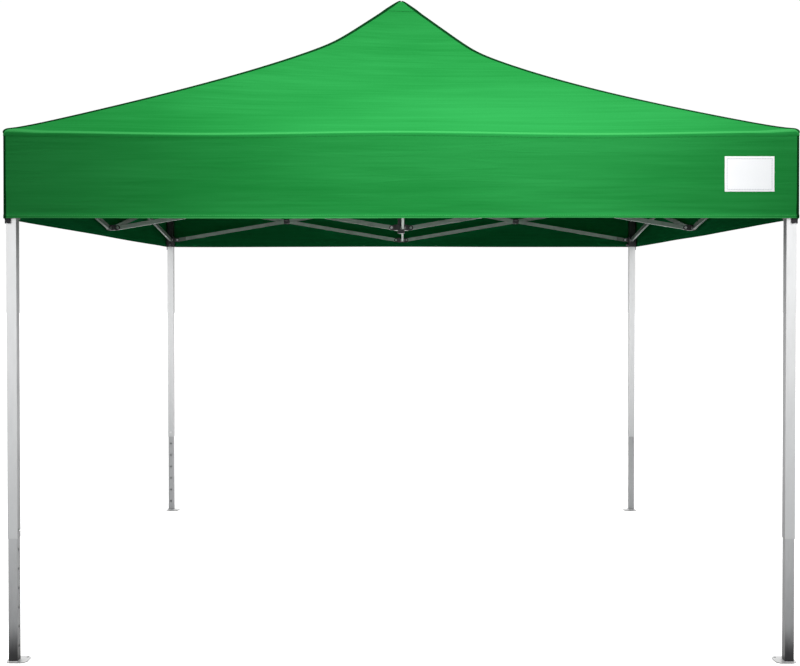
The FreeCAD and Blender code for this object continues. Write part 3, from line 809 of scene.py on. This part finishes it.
def hip_grid(corner):
    """Columns across the tape of a corner, made on the left end of that corner's side."""
    flat = roof_grid(corner, np.array([-1.0]))[2:-3, 0]
    ridge = turned_grid(flat, (4 - corner) % 4)
    reach = np.maximum(np.hypot(flat[:, 0], flat[:, 1]), TINY)
    patch_edge = 1 - PATCH_REACH / REACH
    columns = []
    for wing in WING_SHARES:
        quarter = 0 if wing < 0 else 1
        side = (corner - quarter) % 4
        moved = turned_grid(ridge, quarter)
        t = np.clip(1 - np.abs(moved[:, 1]) / REACH, 0, 1)
        outward = moved[:, :2] / reach[:, None]
        inwards = -np.sign(moved[:, 0])
        moved[:, 0] += inwards * np.minimum(TAPE_WING, reach * 0.2) * abs(wing)
        s = moved[:, 0] / np.maximum(np.abs(moved[:, 1]), TINY)
        beyond = np.minimum(1, (1 - np.abs(s)) / (CORNER_ROUND / REACH)) * smooth(t, 0.01, 0.03)
        plain = roof_height(side, s, t) + tension(side, s, t, moved)
        moved[:, 2] += (plain - moved[:, 2]) * beyond
        lift = TAPE_LIFT - 0.0008 * abs(wing) + PIPING * (1 - smooth(abs(wing), 0.0, 0.3))
        lift = lift + PATCH_STEP * smooth(t, patch_edge - 0.004, patch_edge)
        moved[:, :2] += outward * (lift * (1 - smooth(t, 0.0, 0.015)))[:, None]
        moved[:, 2] += lift
        columns.append(turned_grid(moved, (4 - quarter) % 4))
    return turned_grid(np.stack(columns, axis=1), corner)


for corner, label in enumerate(CORNERS):
    tape = sheet_from(f"hip_binding_{label}", hip_grid(corner), binding_cloth, binding_cloth,
                      True, TAPE_THICK)
    hang_on_bar(tape, corner, "left")
print(len(CORNERS), "hip bindings")

# %% [markdown]
# ## Peak patch
# The mast pushes straight into the tip of the roof, so a second layer is sewn over it. It is one
# small four-sided cap that follows the roof a cloth's thickness above it. A cone would cut into
# the curve of the roof, so the cap asks the same formula for its heights. It goes with the mast.

# %% Sew the peak patch
PATCH_LIFT = 0.0020


def peak_patch():
    """Closed rows of points round the peak, from the edge of the patch to its tip."""
    rows = []
    levels = np.concatenate([np.linspace(1 - PATCH_REACH / REACH, 0.994, 22), [0.9975, 0.9994]])
    for level in levels:
        row = []
        for side in range(4):
            s = np.linspace(-1, 1, 17)[:-1]
            z = roof_height(side, s, level) + PATCH_LIFT
            reach = REACH * (1 - level)
            row.append(turned((s * reach, np.full_like(s, -reach), z), side))
        row = np.concatenate(row)
        rows.append(np.concatenate([row, row[:1]]))
    tip = rows[-1].mean(axis=0)
    rows.append(tip + (rows[-1] - tip) * 0.02)
    return np.stack(rows)


patch = sheet_from("peak_patch", peak_patch(), canopy_cloth, canopy_lining, True)
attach(patch, "lower_hub")
round(grid_area(peak_patch()), 5)
print("peak patch", patch.name)

# %% [markdown]
# ## Care panel
# A plain white panel is sewn on the right of the front valance. It has a turned edge that stands
# a little proud and a grey row of stitches inside it. The panel could be painted on the valance,
# but a sewn piece has a thickness and an edge that catch the light. It gets a finish of its own,
# in which the stitches are a thin band at one distance from the edge, cut up by a sine.

# %% Panel cloth
PANEL_WIDE, PANEL_TALL = 0.190, 0.135
PANEL_MIDDLE = (1.334, 1.884)
PANEL_THREAD = 0.0009
PANEL_STITCH = 0.0062
STITCHES_INSIDE = 0.009


def panel_cloth():
    """White cloth with one dashed row of grey stitches inside the panel's edge."""
    f = Finish("panel_cloth")
    out_x = abs(f.x - PANEL_MIDDLE[0]) - PANEL_WIDE / 2
    out_z = abs(f.z - PANEL_MIDDLE[1]) - PANEL_TALL / 2
    to_edge = abs(out_x.math("MAXIMUM", out_z))
    row = 1 - abs(to_edge - STITCHES_INSIDE).ramp(0.0006, 0.0014)
    dash = ((f.x + f.z) * (math.tau / PANEL_STITCH)).math("SINE") > -0.3
    stitch = row * dash
    warp = (f.x * (math.tau / PANEL_THREAD)).math("SINE")
    weft = (f.z * (math.tau / PANEL_THREAD)).math("SINE")
    tone = f.cloud(6.0, None, 3.0)
    colour = f.mix(tone, (0.70, 0.72, 0.74), (0.76, 0.765, 0.77))
    colour = f.mix(stitch * 0.8, colour, (0.22, 0.24, 0.30))
    return f.close(Base_Color=colour, Roughness=0.55 + (tone - 0.5) * 0.1,
                   Normal=f.bump(warp * weft * 0.3 + stitch * 2, 0.0002, 0.5),
                   Specular_IOR_Level=0.2)


panel_finish = panel_cloth()
print("panel finish", panel_finish.name)

# %% [markdown]
# The valance is not flat, so a flat panel would sink into it here and stand off there. Each
# point of the panel looks up the four nearest points of the valance, and lies just in front of
# the one that is furthest out. A Shrinkwrap modifier would do it too, but the export keeps
# plain points more surely.

# %% Sew the panel on
PANEL_COLUMNS, PANEL_ROWS = 39, 29
PANEL_THICK = 0.0007


def panel_grid():
    """Points of the panel, laid on the valance by looking up the valance's own surface."""
    face = valance_grid(0, np.linspace(0.75, 0.985, 48))
    flat_x, flat_z, depth = face[..., 0].ravel(), face[..., 2].ravel(), face[..., 1].ravel()
    xs = np.linspace(-0.5, 0.5, PANEL_COLUMNS) * PANEL_WIDE + PANEL_MIDDLE[0]
    zs = np.linspace(0.5, -0.5, PANEL_ROWS) * PANEL_TALL + PANEL_MIDDLE[1]
    grid = np.zeros((PANEL_ROWS, PANEL_COLUMNS, 3))
    for r, z in enumerate(zs):
        for c, x in enumerate(xs):
            near = np.argsort((flat_x - x) ** 2 + (flat_z - z) ** 2)[:4]
            edge = min(PANEL_WIDE / 2 - abs(x - PANEL_MIDDLE[0]),
                       PANEL_TALL / 2 - abs(z - PANEL_MIDDLE[1]))
            turn = float(smooth(edge, 0.0, 0.002)) - 0.45 * float(smooth(edge, 0.006, 0.010))
            grid[r, c] = (x, depth[near].min() - 0.0010 - 0.0008 * turn, z)
    return grid


panel = sheet_from("care_panel", panel_grid(), panel_finish, panel_finish, False, PANEL_THICK)
hang_on_bar(panel, 0, "right")
print("panel sewn on")

# %% [markdown]
# ## Corner tabs
# A short black hook-and-loop tab is sewn inside each corner of the valance. It bends round the
# outer corner of the leg and holds the cloth to it, and its lower edge shows under the hem. Its
# webbing is ribbed across and fuzzy all over, which a sine and a fine noise in the bump give.

# %% Strap webbing
RIB = 0.0024


def strap_webbing():
    """Black webbing, ribbed across and fuzzy all over."""
    f = Finish("strap_webbing")
    rib = (f.z * (math.tau / RIB)).math("SINE")
    fuzz = f.cloud(700.0, None, 3.0, 0.7)
    return f.close(Base_Color=f.mix(fuzz, (0.012, 0.012, 0.014), (0.045, 0.045, 0.05)),
                   Roughness=0.85 + (fuzz - 0.5) * 0.15,
                   Normal=f.bump(rib * 0.4 + fuzz, 0.0004, 0.7), Specular_IOR_Level=0.2)


webbing = strap_webbing()
print("webbing", webbing.name)

# %% [markdown]
# Each tab is a strip along an L with a round bend, seen from above. Its outline is worked out
# once, at the front left corner, and turned by quarter turns. Every tab was cut by hand, so the
# parts that show beside a leg differ in width. Below the hem the strip tucks in to the leg.

# %% Sew the tabs
TAB_DROP = 0.019
TAB_RISE = 0.030
TAB_ROUND = 0.006
TAB_HIDDEN = 0.030
TAB_TUCK = 0.0028
TAB_THICK = 0.0014
TAB_WIDTHS = {"front_left": 0.017, "front_right": 0.019,
              "back_right": 0.024, "back_left": 0.024}
inside_cloth = canopy_high.x + 0.0004


def tab_grid(corner, width):
    """An L seen from above, made at the front left corner and turned to its own one."""
    side_run, front_run = (width, TAB_HIDDEN) if corner % 2 == 0 else (TAB_HIDDEN, width)
    centre = -inside_cloth + TAB_ROUND
    path = [(-inside_cloth, y) for y in np.linspace(centre + front_run, centre, 7)[:-1]]
    path += [(centre - TAB_ROUND * math.cos(a), centre - TAB_ROUND * math.sin(a))
             for a in np.linspace(0, math.pi / 2, 7)]
    path += [(x, -inside_cloth) for x in np.linspace(centre, centre + side_run, 7)[1:]]
    rows = []
    for v in np.linspace(0, 1, 9):
        z = HEM + TAB_RISE - (TAB_RISE + TAB_DROP) * v
        tuck = TAB_TUCK * float(smooth(v, 0.45, 0.75))
        rows.append([(x + tuck, y + tuck, z - 0.0012 * math.sin(k * 0.9) * v)
                     for k, (x, y) in enumerate(path)])
    return turned_grid(np.array(rows), corner)


for corner, label in enumerate(CORNERS):
    tab = sheet_from(f"corner_tab_{label}", tab_grid(corner, TAB_WIDTHS[label]), webbing, webbing,
                     False, TAB_THICK)
    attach(tab, f"leg_{label}")
print(len(CORNERS), "corner tabs")

# %% [markdown]
# ## Corner bindings
# The valance is closed at each corner by the same dark tape as the hips, folded round the seam.
# The tape takes the last columns of the valance on both sides of the corner and moves them out
# by a little more than the cloth's thickness, so it can't cross the cloth that it is sewn on.

# %% Bind the corners
BIND_REACH = 0.024
BIND_THICK = 0.0008
BIND_LIFT = 0.0011


def corner_binding_grid(corner):
    """A strip round the corner, on the left end of the corner's side and beyond it."""
    mine = valance_grid(corner, np.linspace(-1 + BIND_REACH / REACH, -1, 15))
    other = valance_grid((corner - 1) % 4, np.linspace(1, 1 - BIND_REACH / REACH, 15))
    grid = np.concatenate([mine, other[:, 1:]], axis=1)
    out = np.array(turned((np.array(-1.0), np.array(-1.0), np.array(0.0)), corner))
    return grid + out / np.linalg.norm(out) * BIND_LIFT


for corner, label in enumerate(CORNERS):
    strip = sheet_from(f"corner_binding_{label}", corner_binding_grid(corner), binding_cloth,
                       binding_cloth, False, BIND_THICK)
    hang_on_bar(strip, corner, "left")
print(len(CORNERS), "corner bindings")

# %% [markdown]
# ## Crossing covers
# Where two bars cross, a moulded black cover hides the rivet on each face. It is a low block with
# round corners, a shallow dome and a dimple. A cube with a Bevel modifier would be as round at
# the back as at the front. Rings of points, from the back over the rim to the middle, give the
# flat back, the draft of the mould and the dimple in one go.

# %% Mould a cover
COVER_LONG, COVER_TALL, COVER_THICK = 0.038, 0.030, 0.0042


def rounded_square(half, radius, steps):
    """Points round a square with round corners, anticlockwise from the middle of its right."""
    points = []
    for corner in range(4):
        base = math.pi / 4 + corner * math.pi / 2
        centre_x = (half - radius) * math.copysign(1, math.cos(base))
        centre_y = (half - radius) * math.copysign(1, math.sin(base))
        for step in range(steps + 1):
            turn = (corner + step / steps) * math.pi / 2
            points.append((centre_x + radius * math.cos(turn), centre_y + radius * math.sin(turn)))
    return points


def cover_mesh(name):
    """A block with its back on z 0 and its dome towards +z, made in rings from rim to middle."""
    outline = rounded_square(0.5, 0.16, 5)
    levels = [(0.97, 0.0), (1.0, 0.0004), (1.0, 0.0026), (0.97, 0.0034), (0.90, 0.0038),
              (0.72, COVER_THICK), (0.40, COVER_THICK + 0.0002), (0.33, COVER_THICK - 0.0006),
              (0.16, COVER_THICK - 0.0006)]
    count = len(outline)
    points = [(x * COVER_LONG * size, y * COVER_TALL * size, z)
              for size, z in levels for x, y in outline]
    faces = [tuple(range(count))[::-1]]
    for level in range(len(levels) - 1):
        for k in range(count):
            a, b = level * count + k, level * count + (k + 1) % count
            faces.append((a, b, b + count, a + count))
    faces.append(tuple(range((len(levels) - 1) * count, len(levels) * count)))
    mesh = new_mesh(name, points, faces, black_nylon)
    mesh.shade_smooth()
    return mesh


print("cover mould", COVER_LONG, "by", COVER_TALL, "by", COVER_THICK, "m")

# %% [markdown]
# A cover sits on the outer face of a bar, in the middle of the crossing, tilted as the bar is.
# The place comes from the box of the bar, so it stays right when the frame changes. The cover
# turns with the bar that it is pressed on.

# %% Press the covers on
BAR_FACE = 0.0143
BAR_RISE, BAR_RUN = 0.24, 1.42


def press_on(name, body, middle, outward, tilt):
    """A cover whose dome looks outward, turned in its own plane by tilt."""
    made = put_in_scene(name, cover_mesh(name))
    out = Vector(outward).normalized()
    level = Vector((0, 0, 1)).cross(out).normalized()
    turn = Matrix((level, out.cross(level), out)).transposed() @ Matrix.Rotation(tilt, 3, "Z")
    made.matrix_world = Matrix.Translation(middle) @ turn.to_4x4()
    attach(made, body)


covers = 0
for side, side_name in enumerate(SIDES):
    for end in ("left", "right"):
        low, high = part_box(f"{side_name}_high_bar_{end}")
        middle = (low + high) / 2
        across = 0 if side % 2 else 1
        outward = side_vector((0, -1, 0), side)
        for kind, facing in (("high", 1), ("low", -1)):
            at = middle.copy()
            at[across] = outward[across] * (LEG_LINE + facing * BAR_FACE)
            rising = 1 if (end == "right") == (kind == "high") else -1
            slope = math.atan2(BAR_RISE, BAR_RUN) * rising
            press_on(f"cover_{side_name}_{kind}_{end}", f"{side_name}_{kind}_bar_{end}", at,
                     outward * facing, slope * facing)
            covers += 1
print(covers, "covers")

# %% [markdown]
# ## Weld beads
# The inner leg tube is welded to its foot plate all round. A weld is a row of overlapping drops,
# so the bead is a small ring whose thickness rises and falls, swept round the tube. A bevelled
# curve has one thickness all along, so the ring is built point by point.

# %% Run the beads
BEAD = 0.0023
BEAD_SIDES = 8
BEAD_FLOOR = 0.0004
BEAD_STEP = 0.0014
INNER_TUBE_HALF = 0.0174
INNER_TUBE_ROUND = 0.003


def bead_path():
    """Points round the inner tube, close together all the way."""
    path = rounded_square(INNER_TUBE_HALF, INNER_TUBE_ROUND, 4)
    dense = []
    for a, b in zip(path, path[1:] + path[:1]):
        parts = max(1, round(math.dist(a, b) / BEAD_STEP))
        dense += [(a[0] + (b[0] - a[0]) * i / parts, a[1] + (b[1] - a[1]) * i / parts)
                  for i in range(parts)]
    return dense


def bead_mesh(name, x0, y0, shift):
    """The bead round the tube that stands at x0, y0. shift makes each bead another one."""
    path = bead_path()
    points, faces = [], []
    for k, (x, y) in enumerate(path):
        reach = math.hypot(x, y)
        drop = abs(math.sin(k * 0.62 + shift)) * 0.0006
        uneven = noise.noise(Vector((x * 90 + shift, y * 90, 0))) * 0.0005
        radius = BEAD + drop + uneven
        for j in range(BEAD_SIDES):
            turn = math.tau * j / BEAD_SIDES
            out = 1 + radius * math.cos(turn) / reach
            z = max(PLATE_TOP + radius * math.sin(turn) * 0.9, BEAD_FLOOR)
            points.append((x0 + x * out, y0 + y * out, z))
    for k in range(len(path)):
        here, after = k * BEAD_SIDES, (k + 1) % len(path) * BEAD_SIDES
        for j in range(BEAD_SIDES):
            beside = (j + 1) % BEAD_SIDES
            faces.append((here + j, after + j, after + beside, here + beside))
    mesh = new_mesh(name, points, faces, snap_steel)
    mesh.shade_smooth()
    return mesh


for corner, label in enumerate(CORNERS):
    low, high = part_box(f"leg_outer_{label}")
    name = f"weld_bead_{label}"
    bead = put_in_scene(name, bead_mesh(name, (low.x + high.x) / 2, (low.y + high.y) / 2,
                                        corner * 1.9))
    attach(bead, f"lower_leg_{label}")
print(len(CORNERS), "weld beads")

# %% [markdown]
# ## Floor and dome
# The floor is plain and pale, and a white dome stands round it, as the sweep does in a studio.
# Only the camera and reflections see them, so they give the metal something white to mirror
# without washing out the green. A white world would light the cloth from all sides, and its
# shaded end would be gone.

# %% Floor and dome
FLOOR_REACH = 60.0
DOME_REACH = 80.0
DOME_RINGS, DOME_STEPS = 16, 48


def stage_piece(name, points, faces, finish):
    """Something that stands round the gazebo and isn't part of it."""
    made = put_in_scene(name, new_mesh(name, points, faces, finish))
    made.visible_diffuse = False
    return made


def dome_grid():
    """Points and faces of a ball, in rings from the bottom to the top."""
    points, faces = [], []
    for level in range(DOME_RINGS + 1):
        lift = math.pi * (level / DOME_RINGS - 0.5)
        for step in range(DOME_STEPS):
            turn = math.tau * step / DOME_STEPS
            points.append((DOME_REACH * math.cos(lift) * math.cos(turn),
                           DOME_REACH * math.cos(lift) * math.sin(turn),
                           DOME_REACH * math.sin(lift)))
    for level in range(DOME_RINGS):
        for step in range(DOME_STEPS):
            a, b = level * DOME_STEPS + step, level * DOME_STEPS + (step + 1) % DOME_STEPS
            faces.append((a, b, b + DOME_STEPS, a + DOME_STEPS))
    return points, faces


floor_finish = Finish("floor_white")
speck = floor_finish.cloud(0.6, None, 2.0)
floor_finish.close(Base_Color=floor_finish.mix(speck, (0.90, 0.90, 0.90), (0.93, 0.93, 0.93)),
                   Roughness=0.95, Specular_IOR_Level=0.0,
                   Emission_Color=(1, 1, 1, 1), Emission_Strength=0.62)
square = [(x * FLOOR_REACH, y * FLOOR_REACH, 0) for x, y in ((-1, -1), (1, -1), (1, 1), (-1, 1))]
stage_piece("floor", square, [(0, 1, 2, 3)], floor_finish.material)

dome_finish = Finish("dome_white")
dome_finish.close(Base_Color=(0, 0, 0, 1), Specular_IOR_Level=0.0,
                  Emission_Color=(1, 1, 1, 1), Emission_Strength=1.02)
dome = stage_piece("dome", *dome_grid(), dome_finish.material)
dome.visible_shadow = False
print("floor and dome ready")

# %% [markdown]
# ## Light
# The cloth is lit by a dim sky that is strongest overhead, so the roof is paler than the valance
# and the inside stays dark. A soft spot high in front adds the rest. It is aimed a little to the
# right, so the left end of the canopy falls into shade.

# %% Light
SKY_TOP, SKY_SIDE, SKY_BELOW = 1.90, 0.26, 0.10
world = bpy.data.worlds.new("studio")
world.use_nodes = True
bpy.context.scene.world = world
sky = Board(world.node_tree, "Generated")
height = sky.node("ShaderNodeMapRange", {}, {"Value": sky.z, "From Min": -1})
shade = sky.node("ShaderNodeValToRGB", {"stops": [(0.44, (SKY_BELOW,) * 3), (0.50, (SKY_SIDE,) * 3),
                                                  (1.0, (SKY_TOP,) * 3)]}, {"Fac": height})
sky.feed(world.node_tree.nodes["Background"], {"Color": shade})


def spot(name, where, target, angle, radius, power):
    """A soft spotlight that looks from where to target, with its cone's angle in degrees."""
    data = bpy.data.lights.new(name, "SPOT")
    data.spot_size = math.radians(angle)
    data.spot_blend = 1.0
    data.shadow_soft_size = radius
    data.energy = power
    made = put_in_scene(name, data)
    made.location = where
    made.rotation_euler = (Vector(target) - Vector(where)).to_track_quat("-Z", "Y").to_euler()


spot("front_spot", where=(1.0, -8.0, 6.4), target=(0.23, -0.9, 2.1), angle=26.5, radius=0.6,
     power=3950)
print("dim sky and one soft spot")
